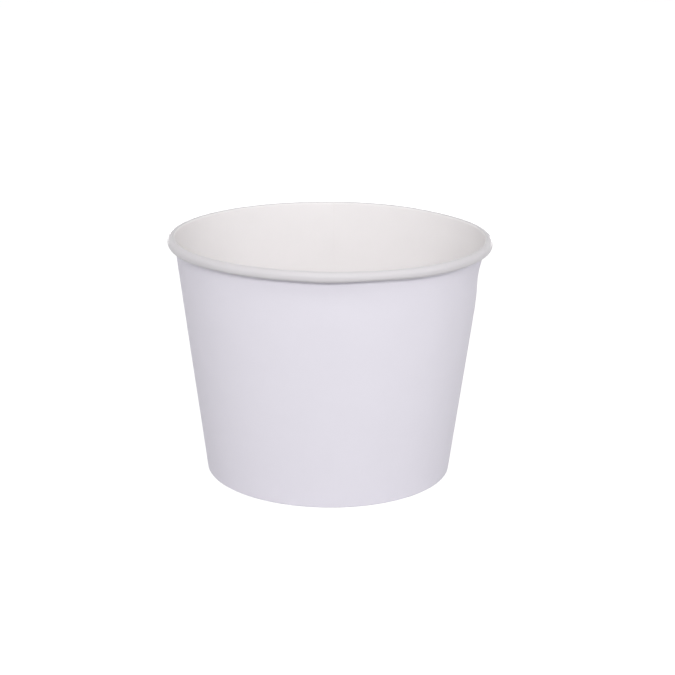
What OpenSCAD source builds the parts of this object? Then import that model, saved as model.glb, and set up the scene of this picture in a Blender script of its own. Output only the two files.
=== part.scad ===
// Paper food bucket. A sheet of coated board is wrapped into a cone and glued along a lapped side
// seam, rolled outwards at the rim and folded inwards at the foot, where the fold grips the skirt
// of a raised base. Millimetres, +Z up, origin at the middle of the foot, front towards -Y.

/* [Bucket] */
// Diameter over the rolled rim
rim_d = 184; // [160:1:230]
// Diameter over the foot
foot_d = 142; // [110:1:165]
// Height from the table to the top of the rim
height = 138.5; // [70:0.5:240]

/* [Board] */
// Thickness of the side wall's board
wall_t = 0.5; // [0.35:0.05:0.7]
// Thickness of the base's board
base_t = 0.5; // [0.35:0.05:0.8]

/* [Rolled rim] */
// Height of the roll
roll_h = 5.6; // [4.6:0.1:6.3]
// Width of the roll, with the wall in it
roll_w = 4.3; // [4:0.1:5.6]
// How far the tucked end curls on down the inside of the nose, in degrees
tuck_a = 35; // [10:5:90]
// Gap between the turns of the roll
roll_gap = 0.05; // [0.03:0.01:0.2]

/* [Side seam] */
// Width of the lap at the rim
lap_w = 10; // [6:0.5:16]
// Sideways distance from the middle of the back to the raw edge inside the bucket, at the rim
seam_x = 2.2; // [-20:0.2:20]

/* [Base] */
// Height of the base's underside above the table
recess_h = 12; // [8:0.5:25]
// Radius of the bend from the base into its skirt, at the middle of the board
skirt_bend_r = 1.2; // [0.8:0.1:3]
// Distance from the raw edge of the folded foot up to the bend of the skirt
hem_gap = 1.5; // [0.5:0.1:4]
// Radius inside each corner of the folded foot
fold_in_r = 0.15; // [0.05:0.05:0.25]
// Glue line on each side of the skirt
glue_gap = 0.05; // [0.02:0.01:0.12]

/* [Hidden] */
wall_colour = "#e6e3ee";
base_colour = "#ece8ec";

// Steps round the bucket, and the most that the board turns between two points of a bend
$fn = 64;
bend_step = 15;

// The foot's outer corner, the roll's half round nose, and the tighter shoulder over which the wall
// turns into it, each as a centre in [radius, height] and a radius to the middle of the board
fold_r = fold_in_r + wall_t / 2;
fold_c = [foot_d / 2 - fold_r - wall_t / 2, fold_r + wall_t / 2];
nose_r = (roll_h - wall_t) / 2;
nose_c = [rim_d / 2 - nose_r - wall_t / 2, height - nose_r - wall_t / 2];
shoulder_r = roll_w - wall_t - nose_r;
shoulder_c = nose_c + [0, nose_r - shoulder_r];

// The wall's straight line touches the foot's corner on its outside and the shoulder on its inside
span = shoulder_c - fold_c;
taper = atan2(span.x, span.y) - asin((shoulder_r + fold_r) / norm(span));
up = [sin(taper), cos(taper)];
out = [cos(taper), -sin(taper)];
wall_foot = fold_c + fold_r * out;
wall_head = shoulder_c - shoulder_r * out;

// The foot holds the skirt between the wall and the hem, which stands as far inside the skirt as
// the wall does outside it, so the flat between its two corners follows from the pocket's width
pocket_r = (wall_t + base_t) / 2 + glue_gap;
pocket_foot = wall_foot - pocket_r * out;
hem_c = fold_c - [2 * (pocket_r - fold_r) / up.y, 0];

// Below its nose the roll bends up again, one turn and one gap clear of the wall, and its tucked
// end follows the inside of the shoulder and the nose as far from them
turn_step = wall_t + roll_gap;
under_reach = (nose_c - [0, nose_r] - wall_head) * out;
under_r = (under_reach - turn_step) / (1 + up.x);
under_c = nose_c - [0, nose_r - under_r];

// The skirt runs up the middle of the pocket and bends into the base
skirt_l = (recess_h + base_t / 2 - skirt_bend_r * (1 + up.x) - pocket_foot.y) / up.y;
skirt_top = pocket_foot + skirt_l * up;
skirt_bend_c = skirt_top - skirt_bend_r * out;
hem_l = skirt_l - hem_gap;

// The lap, as angles round the bucket: the inner raw edge, and the width of the overlap
lap_edge_a = 90 - asin(seam_x / wall_head.x);
lap_a = lap_w / wall_head.x * 180 / PI;
// Heights between which each ply of the lap shows: the outer one up to the underside of the roll,
// the inner one down to the base
outer_ply_top = height - roll_h;
inner_ply_low = recess_h + 2 * base_t;
// Angle by which the face of each ply leans off the wall's face, so that it fades into the wall on
// one side of the lap and stands one board proud at its raw edge on the other
lap_sink = lap_w * lap_w / (wall_foot.x + wall_head.x);
outer_lean = atan((lap_sink - wall_t) / lap_w);
inner_lean = atan((lap_sink + wall_t) / lap_w);

// Where the middle of the wall's board is at height z
function wall_at(z) = wall_foot + (z - wall_foot.y) / up.y * up;

// Points of a bend about a centre, from one angle to another; where a bend runs on from another,
// first is 1, as the point between them is there already
function bend(centre, r, from, to, first = 0) =
    let (steps = ceil(abs(to - from) / bend_step))
    [for (i = [first:steps]) let (a = from + (to - from) * i / steps) centre + r * [cos(a), sin(a)]];

// The side wall's board as a line from its edge in the foot to its edge in the roll, off its
// middle by a distance towards the outside of the wall: down the hem, round the foot's two
// corners, up the wall, over and under the roll, and up again inside it
function wall_line(off) = concat(
    [hem_c + hem_l * up - (fold_r + off) * out],
    bend(hem_c, fold_r + off, 180 - taper, 270),
    bend(fold_c, fold_r + off, 270, 360 - taper),
    bend(shoulder_c, shoulder_r - off, 180 - taper, 90),
    bend(nose_c, nose_r - off, 90, -90, first = 1),
    bend(under_c, under_r - off, -90, -180 - taper, first = 1),
    bend(shoulder_c, shoulder_r - turn_step - off, 180 - taper, 90),
    bend(nose_c, nose_r - turn_step - off, 90, 90 - tuck_a, first = 1));

// The base's board as a line from the edge of its skirt, up and in to the middle
function base_line(off) = concat(
    [pocket_foot + off * out],
    bend(skirt_bend_c, skirt_bend_r + off, -taper, 90),
    [[0, skirt_bend_c.y + skirt_bend_r + off]]);

// Section of a board between the lines along its two faces
module board(face, back) polygon(concat(face, [for (i = [len(back) - 1:-1:0]) back[i]]));

// A strip along the wall over the width of the lap, from the middle of the wall's board to one
// board off its face, on side 1 outside and -1 inside
module lap_strip(side, low, top) {
    rotate([0, 0, lap_edge_a]) rotate_extrude(angle = lap_a)
        board([wall_at(low), wall_at(top)],
              [for (z = [low, top]) wall_at(z) + side * (wall_t + wall_t / 2) * out]);
}

// Half space inside a face that holds the wall's straight line at one side of the lap and leans
// off it, about the line, towards the other side
module lap_face(edge_a, side, lean) {
    reach = 2 * height;
    face_foot = wall_foot + side * wall_t / 2 * out;
    rotate([0, 0, edge_a]) translate([face_foot.x, 0, face_foot.y])
        rotate([0, taper, 0]) rotate([0, 0, lean])
            translate([-reach, -reach / 2, -reach / 2]) cube([reach, reach, 2 * reach]);
}

// The two plies of the lap: the outer one's raw edge is on the far side from the inner one's
module seam_lap() {
    intersection() {
        lap_strip(1, wall_foot.y, outer_ply_top);
        lap_face(lap_edge_a, 1, outer_lean);
    }
    difference() {
        lap_strip(-1, inner_ply_low, wall_head.y);
        lap_face(lap_edge_a + lap_a, -1, -inner_lean);
    }
}

module side_wall() color(wall_colour) {
    rotate_extrude() board(wall_line(wall_t / 2), wall_line(-wall_t / 2));
    seam_lap();
}

module base_disc() color(base_colour) {
    rotate_extrude() board(base_line(base_t / 2), base_line(-base_t / 2));
}

side_wall();
base_disc();
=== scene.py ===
"""Paper food bucket: the looks of the side wall and the base, with a floor, soft light and a camera.

The side wall is one sheet of coated board. Its section is the same line as in the part's source:
down the hem, round the foot, up the wall, over and under the roll, and up again inside it.
Metres, +Z up, front towards -Y.
"""

import math

import bmesh
import bpy
import numpy as np
from mathutils import Matrix, Vector


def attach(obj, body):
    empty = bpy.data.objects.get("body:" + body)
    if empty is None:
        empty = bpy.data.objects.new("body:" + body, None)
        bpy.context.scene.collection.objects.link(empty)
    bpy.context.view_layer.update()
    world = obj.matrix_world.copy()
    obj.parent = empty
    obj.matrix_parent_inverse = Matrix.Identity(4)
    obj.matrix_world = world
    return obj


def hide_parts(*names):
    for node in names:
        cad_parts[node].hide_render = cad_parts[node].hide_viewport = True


MM = 0.001

# The bucket's sizes, as in the part's source
RIM_D, FOOT_D, HEIGHT = 184 * MM, 142 * MM, 138.5 * MM
BOARD_T = 0.5 * MM
ROLL_H, ROLL_W, ROLL_GAP = 5.6 * MM, 4.3 * MM, 0.05 * MM
TUCK_A = math.radians(35)
LAP_W, SEAM_X = 10 * MM, 2.2 * MM
RECESS_H, SKIRT_BEND_R, HEM_GAP = 12 * MM, 1.2 * MM, 1.5 * MM
FOLD_IN_R, GLUE_GAP = 0.15 * MM, 0.05 * MM

# The photograph's camera
CAM_DISTANCE, CAM_PITCH, CAM_ROLL = 0.92, math.radians(16.987), math.radians(-0.483)
FOCAL_PX, CENTRE_X, CENTRE_Y = 1585.3, 329.106, 349.915
IMAGE_PX, SENSOR = 675, 36.0

# How fine the meshes are: columns round the bucket, the angle between two points of a bend, and
# the steps of each straight run
TURNS = 360
BEND_STEP, FRONT_STEP, HIDDEN_STEP = (math.radians(a) for a in (8, 4.8, 15))
WALL_STEPS, HEM_STEPS, SKIRT_STEPS, TUCK_STEPS = 28, 10, 8, 3
BASE_RINGS = 24
SHARP = math.radians(40)

# The lap's plies: the heights between which each shows
OUTER_PLY_LOW, OUTER_PLY_TOP = 0.9 * MM, HEIGHT - ROLL_H
INNER_PLY_LOW = RECESS_H + 2 * BOARD_T
LAP_ENDS = (OUTER_PLY_LOW, INNER_PLY_LOW)
# Half the angle of the step at a raw edge, and half the height of the step at a ply's end
EDGE_HALF, END_HALF = 0.0002, 0.06 * MM
# Over how many points of the shoulder the inner ply fades out, and the height from which its raw
# edge shows bare board
SHOULDER_POINTS, BARE_FROM = 6, 131 * MM

# How many rows before the top of the shoulder the painted shade of the rim starts, a darker copy of the
# inside coat
SHADED_ROLL_ROWS = 4

# How square the roll's lower half is: 2 is round, and more is flatter with a tighter corner
ROLL_SQUARE = 2.9

# Unevenness of the real bucket. Waves round it are given as turns, height and phase, and humps as
# centre and width in degrees and height: the wall's bow, the droop of the roll's lower edge, and
# the level of the rim. The wall is pushed in under the rim by the pinch, and the base sags.
BOW = ((2, 0.12 * MM, 0.6), (3, 0.08 * MM, 2.1), (5, 0.05 * MM, 4.0))
DROOP = ((4, 0.07 * MM, 1.0), (7, 0.06 * MM, 2.6), (11, 0.04 * MM, 0.3))
DROOP_HUMPS = ((-92, 6, -0.22 * MM), (-74, 9, 0.45 * MM))
LEVEL, LEVEL_MEAN = ((1, 0.088 * MM, 2.26), (2, 0.219 * MM, -2.405)), -0.3 * MM
LEVEL_HUMPS = ((38, 20, -0.5 * MM),)
PINCH_HUMPS, PINCH_Z, PINCH_HEIGHT = ((4, 30, -1.5 * MM),), 119 * MM, 11 * MM
BASE_SAG = 0.35 * MM

# Heights between which the bow sets in and dies out, and the level of the rim sets in
BOW_IN, BOW_OUT = (18 * MM, 70 * MM), (125 * MM, 133 * MM)
LEVEL_IN = (95 * MM, 134 * MM)

# Places of the materials on the side wall's piece, and on the base's
OUTSIDE, INSIDE, RAW, SHADED_ROLL = 0, 1, 2, 3
BASE_COAT, BASE_RAW = 0, 1

# Colours, linear
OUTSIDE_COLOUR = (0.858, 0.831, 0.903)
INSIDE_COLOUR = (0.892, 0.866, 0.869)
# The rim's tone is the inside coat made darker: painted shade on the roll, which is the same coated
# face of the sheet
SHADED_ROLL_COLOUR = (0.70, 0.677, 0.698)
RAW_COLOUR = (0.68, 0.64, 0.59)
FLOOR_COLOUR = (0.48, 0.48, 0.49)

# Roughness and gloss of each finish, how cloudy its tone is, and how deep its grain
INSIDE_LOOK = (0.6, 0.08, 0.006, 0.008 * MM)
OUTSIDE_LOOK = (0.55, 0.1, 0.006, 0.008 * MM)
ROLLED_LOOK = (0.32, 0.15, 0.006, 0.008 * MM)
RAW_LOOK = (0.9, 0.2, 0.03, 0.05 * MM)
# How fine the board's clouds, swells and fibres are, and by how much a fibre changes the roughness
CLOUD_SCALE, SWELL_SCALE, FIBRE_SCALE, ROUGH_SPREAD = 45, 160, 1400, 0.05

# The studio: the floor's size, how far it lies under the foot, its shade and glow as it is seen,
# and the even light
FLOOR_R, FLOOR_DROP, FLOOR_SHADOW, FLOOR_GLOW = 8, 0.05 * MM, 0.3, 0.9
WHITE, AMBIENT = (1, 1, 1, 1), 0.334
# The lamps: name, place, target, width, depth and watts
LAMPS = (
    ("front_panel", (0, -1.4, 0.85), (0, 0, 0.1), 1.6, 0.35, 12.9),
    ("high_panel", (0, -0.8, 1.5), (0, 0, 0.1), 1.6, 0.3, 4.9),
    ("right_panel", (1.4, -0.4, 0.5), (0, 0, 0.07), 1.0, 1.0, 4.8),
    ("left_panel", (-1.4, -0.4, 0.5), (0, 0, 0.07), 1.0, 1.0, 3.5),
    ("back_panel", (0, 0.9, 0.05), (0, 0, 0.05), 0.9, 0.08, 2.0),
)


def vec(x, z):
    return np.array([x, z], float)


class Section:
    """Centres, radii and directions of the section's bends, in [radius, height]."""

    def __init__(self):
        t = BOARD_T
        self.fold_r = FOLD_IN_R + t / 2
        self.fold_c = vec(FOOT_D / 2 - self.fold_r - t / 2, self.fold_r + t / 2)
        self.nose_r = (ROLL_H - t) / 2
        self.nose_c = vec(RIM_D / 2 - self.nose_r - t / 2, HEIGHT - self.nose_r - t / 2)
        self.shoulder_r = ROLL_W - t - self.nose_r
        self.shoulder_c = self.nose_c + vec(0, self.nose_r - self.shoulder_r)
        span = self.shoulder_c - self.fold_c
        lean = math.asin((self.shoulder_r + self.fold_r) / np.linalg.norm(span))
        self.taper = math.atan2(span[0], span[1]) - lean
        self.up = vec(math.sin(self.taper), math.cos(self.taper))
        self.out = vec(math.cos(self.taper), -math.sin(self.taper))
        self.wall_foot = self.fold_c + self.fold_r * self.out
        self.wall_head = self.shoulder_c - self.shoulder_r * self.out
        pocket_r = t + GLUE_GAP
        self.pocket_foot = self.wall_foot - pocket_r * self.out
        self.hem_c = self.fold_c - vec(2 * (pocket_r - self.fold_r) / self.up[1], 0)
        self.turn_step = t + ROLL_GAP
        reach = (self.nose_c - vec(0, self.nose_r) - self.wall_head) @ self.out
        self.under_r = (reach - self.turn_step) / (1 + self.up[0])
        self.under_c = self.nose_c - vec(0, self.nose_r - self.under_r)
        rise = RECESS_H + t / 2 - SKIRT_BEND_R * (1 + self.up[0]) - self.pocket_foot[1]
        self.skirt_l = rise / self.up[1]
        self.skirt_c = self.pocket_foot + self.skirt_l * self.up - SKIRT_BEND_R * self.out


S = Section()
LAP_EDGE_A = math.pi / 2 - math.asin(SEAM_X / S.wall_head[0])
LAP_A = LAP_W / S.wall_head[0]


def bend(centre, r, start, end, first=0, step=BEND_STEP):
    """Points and outward normals of a bend, as rows of x, z, normal x, normal z."""
    steps = max(2, math.ceil(abs(end - start) / step))
    side = 1 if end > start else -1
    rows = []
    for i in range(first, steps + 1):
        a = start + (end - start) * i / steps
        d = vec(math.cos(a), math.sin(a))
        rows.append([*(centre + r * d), *(side * d)])
    return rows


def roll_front(centre, r):
    """The roll's lower half: from its widest point down to its lowest, flatter than round."""
    steps = math.ceil(math.pi / 2 / FRONT_STEP)
    rows = []
    for i in range(1, steps + 1):
        a = math.pi / 2 * i / steps
        side, down = math.cos(a), math.sin(a)
        power = 2 / ROLL_SQUARE
        point = vec(side**power, -(down**power))
        lean = vec(side ** (2 - power), -(down ** (2 - power)))
        rows.append([*(centre + r * point), *(-lean / np.linalg.norm(lean))])
    return rows


def run(start, end, normal, steps, heights=()):
    """Points between the ends of a straight run, without the ends themselves, with a pair of close
    ones at each of some heights."""
    places = [i / steps for i in range(1, steps)]
    places += [(z + d - start[1]) / (end[1] - start[1]) for z in heights for d in (-END_HALF, END_HALF)]
    return [[*(start + (end - start) * place), *normal] for place in sorted(places)]


def wall_path():
    """The middle of the side wall's board from its edge in the foot to its edge in the roll."""
    tp, q, h = S.taper, math.pi / 2, math.pi
    hem_top = S.hem_c - S.fold_r * S.out
    hem_edge = hem_top + (S.skirt_l - HEM_GAP) * S.up
    inner_r, inner_nose_r = S.shoulder_r - S.turn_step, S.nose_r - S.turn_step
    under_top = S.under_c - S.under_r * S.out
    tuck_foot = S.shoulder_c - inner_r * S.out
    return np.array(
        [[*hem_edge, *-S.out]]
        + run(hem_edge, hem_top, -S.out, HEM_STEPS)
        + bend(S.hem_c, S.fold_r, h - tp, 3 * q)
        + bend(S.fold_c, S.fold_r, 3 * q, 4 * q - tp)
        + run(S.wall_foot, S.wall_head, S.out, WALL_STEPS, LAP_ENDS)
        + bend(S.shoulder_c, S.shoulder_r, h - tp, q)
        + bend(S.nose_c, S.nose_r, q, 0, first=1)
        + roll_front(S.nose_c, S.nose_r)
        + bend(S.under_c, S.under_r, -q, -h - tp, first=1)
        + run(under_top, tuck_foot, S.out, TUCK_STEPS)
        + bend(S.shoulder_c, inner_r, h - tp, q, step=HIDDEN_STEP)
        + bend(S.nose_c, inner_nose_r, q, q - TUCK_A, first=1, step=HIDDEN_STEP)
    )


def smooth(x, low, high):
    """0 below low, 1 above high, and an even rise between them."""
    t = np.clip((x - low) / (high - low), 0, 1)
    return t * t * (3 - 2 * t)


def wave(angle, *modes):
    """A sum of slow waves round the bucket, each mode as turns, height and phase."""
    return sum(h * np.cos(n * angle + p) for n, h, p in modes)


def humps(angle, *places):
    """A sum of humps, each at its height in its middle and gone about two widths away."""
    total = 0
    for centre, width, height in places:
        off = (angle - math.radians(centre) + math.pi) % (2 * math.pi) - math.pi
        total = total + height * np.exp(-((off / math.radians(width)) ** 2))
    return total


def hand_made(angle, r, z):
    """The small unevenness of a real bucket: the wall a little out of round, pushed in under the rim
    on one side, and neither the rim nor the lower edge of its roll quite level."""
    free = smooth(z, *BOW_IN) * (1 - smooth(z, *BOW_OUT))
    pinch = humps(angle, *PINCH_HUMPS) * np.exp(-(((z - PINCH_Z) / PINCH_HEIGHT) ** 2))
    low = 1 - smooth(z, HEIGHT - ROLL_H, HEIGHT - 0.45 * ROLL_H)
    rolled = smooth(r, S.wall_head[0] + BOARD_T, S.nose_c[0]) * smooth(z, 0.9 * HEIGHT, 0.94 * HEIGHT)
    droop = wave(angle, *DROOP) + humps(angle, *DROOP_HUMPS)
    level = LEVEL_MEAN + wave(angle, *LEVEL) + humps(angle, *LEVEL_HUMPS)
    lift = rolled * low * droop + smooth(z, *LEVEL_IN) * level
    return r + free * (wave(angle, *BOW) + pinch), z + lift


def turn_angles():
    """Angles of the mesh's columns, with a pair of close ones at each raw edge of the lap."""
    step = 2 * math.pi / TURNS
    edges = np.array([LAP_EDGE_A, LAP_EDGE_A + LAP_A])
    plain = LAP_EDGE_A + step * np.arange(TURNS)
    off = (plain[:, None] - edges + math.pi) % (2 * math.pi) - math.pi
    kept = plain[np.abs(off).min(1) > 0.6 * step]
    pairs = np.concatenate([edges - EDGE_HALF, edges + EDGE_HALF])
    return np.sort(np.concatenate([kept, pairs]) % (2 * math.pi))


def wall_faces(path, angles):
    """Both faces of the side wall's board, as grids of points by place along it and angle."""
    across = ((angles - LAP_EDGE_A) % (2 * math.pi) / LAP_A)[None, :]
    laps = across <= 1
    z = path[:, 1][:, None]
    place = np.arange(len(path))[:, None]
    foot, head = (int(np.argmin(np.hypot(*(path[:, :2] - c).T))) for c in (S.wall_foot, S.wall_head))
    on_wall = (place >= foot) & (place <= head)
    over = np.clip(1 - (place - head) / SHOULDER_POINTS, 0, 1) * (place > head)
    inner_on = (on_wall & (z > INNER_PLY_LOW)) + over
    outer_on = on_wall & (z > OUTER_PLY_LOW) & (z < OUTER_PLY_TOP)
    outer = BOARD_T / 2 + np.where(laps, BOARD_T * across, 0) * outer_on
    inner = -BOARD_T / 2 - np.where(laps, BOARD_T * (1 - across), 0) * inner_on
    return [grid_at(path, off, angles) for off in (outer, inner)]


def grid_at(path, off, angles):
    """Points of a face of the board, which lies off the middle line by off."""
    r, z = (path[:, i][:, None] + off * path[:, i + 2][:, None] for i in (0, 1))
    r, z = hand_made(angles[None, :], r, z)
    r, z = np.minimum(r, RIM_D / 2), np.clip(z, 0, HEIGHT)
    return np.stack([r * np.cos(angles), r * np.sin(angles), z], -1)


def quad_strip(bm, rows, flip, slot):
    """Faces between neighbouring rows of vertices that go all round."""
    for a, b in zip(rows, rows[1:]):
        for j in range(len(a)):
            k = (j + 1) % len(a)
            corners = (a[j], a[k], b[k], b[j])
            bm.faces.new(corners[::-1] if flip else corners).material_index = slot


def verts(bm, grid):
    return [[bm.verts.new(point) for point in row] for row in grid]


def mark_lap_edges(bm):
    """Gives the raw board to the narrow faces that step from one ply of the lap to the other: all
    the way up outside, and inside only near the rim, above BARE_FROM."""
    for face in bm.faces:
        middle = face.calc_center_median()
        turn = math.atan2(middle.y, middle.x)
        inside = abs(turn - LAP_EDGE_A) < EDGE_HALF and middle.z > BARE_FROM
        outside = abs(turn - LAP_EDGE_A - LAP_A) < EDGE_HALF
        sideways = abs(face.normal.x * math.sin(turn) - face.normal.y * math.cos(turn))
        if (inside or outside) and sideways > math.sin(SHARP):
            face.material_index = RAW


def finish_mesh(bm, name, materials, lapped=False):
    """Makes a piece from a bmesh, smooth apart from its sharp edges."""
    bmesh.ops.recalc_face_normals(bm, faces=bm.faces)
    bm.normal_update()
    if lapped:
        mark_lap_edges(bm)
    for face in bm.faces:
        face.smooth = True
    for edge in bm.edges:
        edge.smooth = edge.calc_face_angle(0) < SHARP
    mesh = bpy.data.meshes.new(name)
    bm.to_mesh(mesh)
    bm.free()
    for material in materials:
        mesh.materials.append(material)
    piece = bpy.data.objects.new(name, mesh)
    bpy.context.scene.collection.objects.link(piece)
    return piece


def build_wall(materials):
    """The side wall: the two faces of its sheet, joined along the raw edges in the foot and roll."""
    path, angles = wall_path(), turn_angles()
    bm = bmesh.new()
    outer, inner = (verts(bm, grid) for grid in wall_faces(path, angles))
    quad_strip(bm, outer, False, OUTSIDE)
    # A few rows before the top of the shoulder the inside coat gives way to its darker copy: painted
    # shade over the roll
    shade_start = int(np.argmax(path[:, 1])) - SHADED_ROLL_ROWS
    quad_strip(bm, inner[: shade_start + 1], True, INSIDE)
    quad_strip(bm, inner[shade_start:], True, SHADED_ROLL)
    quad_strip(bm, (inner[0], outer[0]), False, RAW)
    quad_strip(bm, (outer[-1], inner[-1]), False, RAW)
    return finish_mesh(bm, "side_wall_sheet", materials, lapped=True)


def build_base(materials):
    """The base: a disc of board with a slight sag, its edge turned down into a skirt."""
    edge = bend(S.skirt_c, SKIRT_BEND_R, -S.taper, math.pi / 2)
    top = np.array(edge[-1][:2])
    middle = vec(0, top[1])
    flat = run(top, middle, vec(0, 1), BASE_RINGS)
    skirt = [[*S.pocket_foot, *S.out]] + run(S.pocket_foot, edge[0][:2], S.out, SKIRT_STEPS)
    path = np.array(skirt + edge + flat)
    angles = 2 * math.pi / TURNS * np.arange(TURNS)
    bm = bmesh.new()
    faces = []
    for off in (BOARD_T / 2, -BOARD_T / 2):
        r, z = (path[:, i] + off * path[:, i + 2] for i in (0, 1))
        z = z - BASE_SAG * (1 - (np.minimum(r, top[0]) / top[0]) ** 2)
        grid = np.stack([np.outer(r, np.cos(angles)), np.outer(r, np.sin(angles)),
                         np.repeat(z[:, None], TURNS, 1)], -1)
        rows = verts(bm, grid)
        hub = bm.verts.new((0, 0, z[-1]))
        for j in range(TURNS):
            bm.faces.new((rows[-1][j], rows[-1][(j + 1) % TURNS], hub))
        faces.append(rows)
    quad_strip(bm, faces[0], False, BASE_COAT)
    quad_strip(bm, faces[1], True, BASE_COAT)
    quad_strip(bm, (faces[1][0], faces[0][0]), False, BASE_RAW)
    return finish_mesh(bm, "base_disc_board", materials)


class Nodes:
    """The node tree of a material or world, with short calls to add and join nodes."""

    def __init__(self, owner, output):
        owner.use_nodes = True
        self.tree = owner.node_tree
        self.tree.nodes.clear()
        self.output = self.add(output)

    def surface(self, shader):
        self.join(shader, self.output.inputs["Surface"])

    def add(self, kind, **values):
        node = self.tree.nodes.new(kind)
        for key, value in values.items():
            if hasattr(node, key):
                setattr(node, key, value)
            else:
                node.inputs[key.replace("_", " ")].default_value = value
        return node

    def join(self, source, target):
        self.tree.links.new(source, target)

    def noise(self, place, scale, detail, rough=0.5):
        node = self.add("ShaderNodeTexNoise", Scale=scale, Detail=detail, Roughness=rough)
        self.join(place, node.inputs["Vector"])
        return node.outputs["Fac"]

    def between(self, factor, low, high):
        """Maps a noise's middle range to values between low and high."""
        node = self.add("ShaderNodeMapRange")
        for i, value in enumerate((0.3, 0.7, low, high), 1):
            node.inputs[i].default_value = value
        self.join(factor, node.inputs[0])
        return node.outputs[0]

    def tones(self, factor, dark, light):
        """A colour between two tones."""
        ramp = self.add("ShaderNodeValToRGB")
        ramp.color_ramp.elements[0].position, ramp.color_ramp.elements[1].position = 0.3, 0.7
        ramp.color_ramp.elements[0].color, ramp.color_ramp.elements[1].color = (*dark, 1), (*light, 1)
        self.join(factor, ramp.inputs["Fac"])
        return ramp.outputs["Color"]

    def bump(self, height, distance, under=None):
        node = self.add("ShaderNodeBump", Strength=1.0, Distance=distance)
        self.join(height, node.inputs["Height"])
        if under is not None:
            self.join(under, node.inputs["Normal"])
        return node.outputs["Normal"]


def board_material(name, colour, look):
    """Board: cloudy tone, fine pulp grain under the coating, and a gloss that varies with it."""
    rough, gloss, mottle, grain = look
    material = bpy.data.materials.new(name)
    n = Nodes(material, "ShaderNodeOutputMaterial")
    place = n.add("ShaderNodeTexCoord").outputs["Object"]
    shader = n.add("ShaderNodeBsdfPrincipled", IOR=1.5)
    shader.inputs["Specular IOR Level"].default_value = gloss
    cloud = n.noise(place, CLOUD_SCALE, 3, 0.6)
    fibre = n.noise(place, FIBRE_SCALE, 4, 0.65)
    dark = tuple(c * (1 - mottle) for c in colour)
    light = tuple(c * (1 + mottle) for c in colour)
    n.join(n.tones(cloud, dark, light), shader.inputs["Base Color"])
    spread = n.between(fibre, rough - ROUGH_SPREAD, rough + ROUGH_SPREAD)
    n.join(spread, shader.inputs["Roughness"])
    swell = n.bump(n.noise(place, SWELL_SCALE, 2), 4 * grain)
    n.join(n.bump(fibre, grain, swell), shader.inputs["Normal"])
    n.surface(shader.outputs[0])
    return material


def plain_where_seen(n, lit, seen):
    """Joins two shaders: seen for the rays that show the background, from the camera and mirrored or
    through glass, and lit for those that light the object."""
    path = n.add("ShaderNodeLightPath")
    shown = path.outputs["Is Camera Ray"]
    for ray in ("Is Glossy Ray", "Is Transmission Ray"):
        either = n.add("ShaderNodeMath", operation="MAXIMUM")
        n.join(shown, either.inputs[0])
        n.join(path.outputs[ray], either.inputs[1])
        shown = either.outputs[0]
    mix = n.add("ShaderNodeMixShader")
    n.join(shown, mix.inputs["Fac"])
    n.join(lit.outputs[0], mix.inputs[1])
    n.join(seen.outputs[0], mix.inputs[2])
    n.surface(mix.outputs[0])


def floor_material():
    """White floor: plain white where it is seen, with a faint shadow, and darker in the light that
    it gives back to the object."""
    material = bpy.data.materials.new("floor_white")
    n = Nodes(material, "ShaderNodeOutputMaterial")
    matte = n.add("ShaderNodeBsdfDiffuse", Color=(*FLOOR_COLOUR, 1))
    shade = n.add("ShaderNodeBsdfDiffuse", Color=(FLOOR_SHADOW, FLOOR_SHADOW, FLOOR_SHADOW, 1))
    glow = n.add("ShaderNodeEmission", Strength=FLOOR_GLOW)
    both = n.add("ShaderNodeAddShader")
    n.join(shade.outputs[0], both.inputs[0])
    n.join(glow.outputs[0], both.inputs[1])
    plain_where_seen(n, matte, both)
    return material


def build_floor():
    bm = bmesh.new()
    bmesh.ops.create_circle(bm, cap_ends=True, radius=FLOOR_R, segments=96)
    mesh = bpy.data.meshes.new("floor")
    bm.to_mesh(mesh)
    bm.free()
    mesh.materials.append(floor_material())
    floor = bpy.data.objects.new("floor", mesh)
    floor.location.z = -FLOOR_DROP
    bpy.context.scene.collection.objects.link(floor)


def build_world():
    """White where it is seen, and an even soft light on the object."""
    world = bpy.data.worlds.new("studio")
    bpy.context.scene.world = world
    n = Nodes(world, "ShaderNodeOutputWorld")
    soft = n.add("ShaderNodeBackground", Color=WHITE, Strength=AMBIENT)
    white = n.add("ShaderNodeBackground", Color=WHITE, Strength=1.0)
    plain_where_seen(n, soft, white)


def panel(name, place, target, width, depth, watts):
    """A soft rectangular lamp at a place, turned to a target."""
    lamp = bpy.data.lights.new(name, "AREA")
    lamp.shape, lamp.size, lamp.size_y, lamp.energy = "RECTANGLE", width, depth, watts
    holder = bpy.data.objects.new(name, lamp)
    holder.location = place
    holder.rotation_euler = (Vector(target) - Vector(place)).to_track_quat("-Z", "Y").to_euler()
    bpy.context.scene.collection.objects.link(holder)


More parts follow.
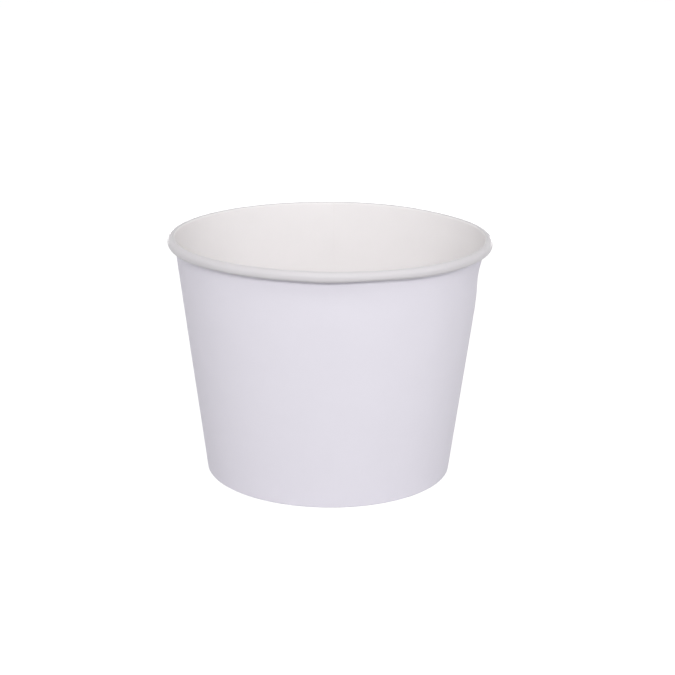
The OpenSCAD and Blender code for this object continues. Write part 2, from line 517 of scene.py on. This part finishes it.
def build_camera():
    """The camera of the photograph, looking down at the middle of the bucket's height."""
    forward = Vector((0, math.cos(CAM_PITCH), -math.sin(CAM_PITCH)))
    rise, right = Vector((0, math.sin(CAM_PITCH), math.cos(CAM_PITCH))), Vector((1, 0, 0))
    c, s = math.cos(CAM_ROLL), math.sin(CAM_ROLL)
    side, top = right * c - rise * s, right * s + rise * c
    data = bpy.data.cameras.new("camera")
    data.sensor_width, data.lens = SENSOR, FOCAL_PX / IMAGE_PX * SENSOR
    data.shift_x = (IMAGE_PX / 2 - CENTRE_X) / IMAGE_PX
    data.shift_y = (CENTRE_Y - IMAGE_PX / 2) / IMAGE_PX
    data.clip_start = 10 * MM
    camera = bpy.data.objects.new("camera", data)
    place = Vector((0, 0, HEIGHT / 2)) - forward * CAM_DISTANCE
    turn = Matrix((side, top, -forward)).transposed().to_4x4()
    camera.matrix_world = Matrix.Translation(place) @ turn
    bpy.context.scene.collection.objects.link(camera)
    bpy.context.scene.camera = camera


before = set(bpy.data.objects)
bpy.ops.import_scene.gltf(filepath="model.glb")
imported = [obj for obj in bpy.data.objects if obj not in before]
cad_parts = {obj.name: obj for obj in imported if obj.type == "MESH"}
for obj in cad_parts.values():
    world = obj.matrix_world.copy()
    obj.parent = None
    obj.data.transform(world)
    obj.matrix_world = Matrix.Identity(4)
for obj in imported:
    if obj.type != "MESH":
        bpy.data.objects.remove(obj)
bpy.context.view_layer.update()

raw = board_material("board_raw_edge", RAW_COLOUR, RAW_LOOK)
inside = board_material("board_inside_coat", INSIDE_COLOUR, INSIDE_LOOK)
outside = board_material("board_outside_coat", OUTSIDE_COLOUR, OUTSIDE_LOOK)
# The rim's material is the inside coat darkened: painted shade on the roll
rolled = board_material("board_rim_painted_shade", SHADED_ROLL_COLOUR, ROLLED_LOOK)

wall = build_wall([outside, inside, raw, rolled])
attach(wall, "root")
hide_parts("side_wall")

base = build_base([inside, raw])
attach(base, "root")
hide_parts("base_disc")

build_floor()
build_world()
for lamp in LAMPS:
    panel(*lamp)
build_camera()
bpy.context.scene.view_settings.view_transform = "Standard"
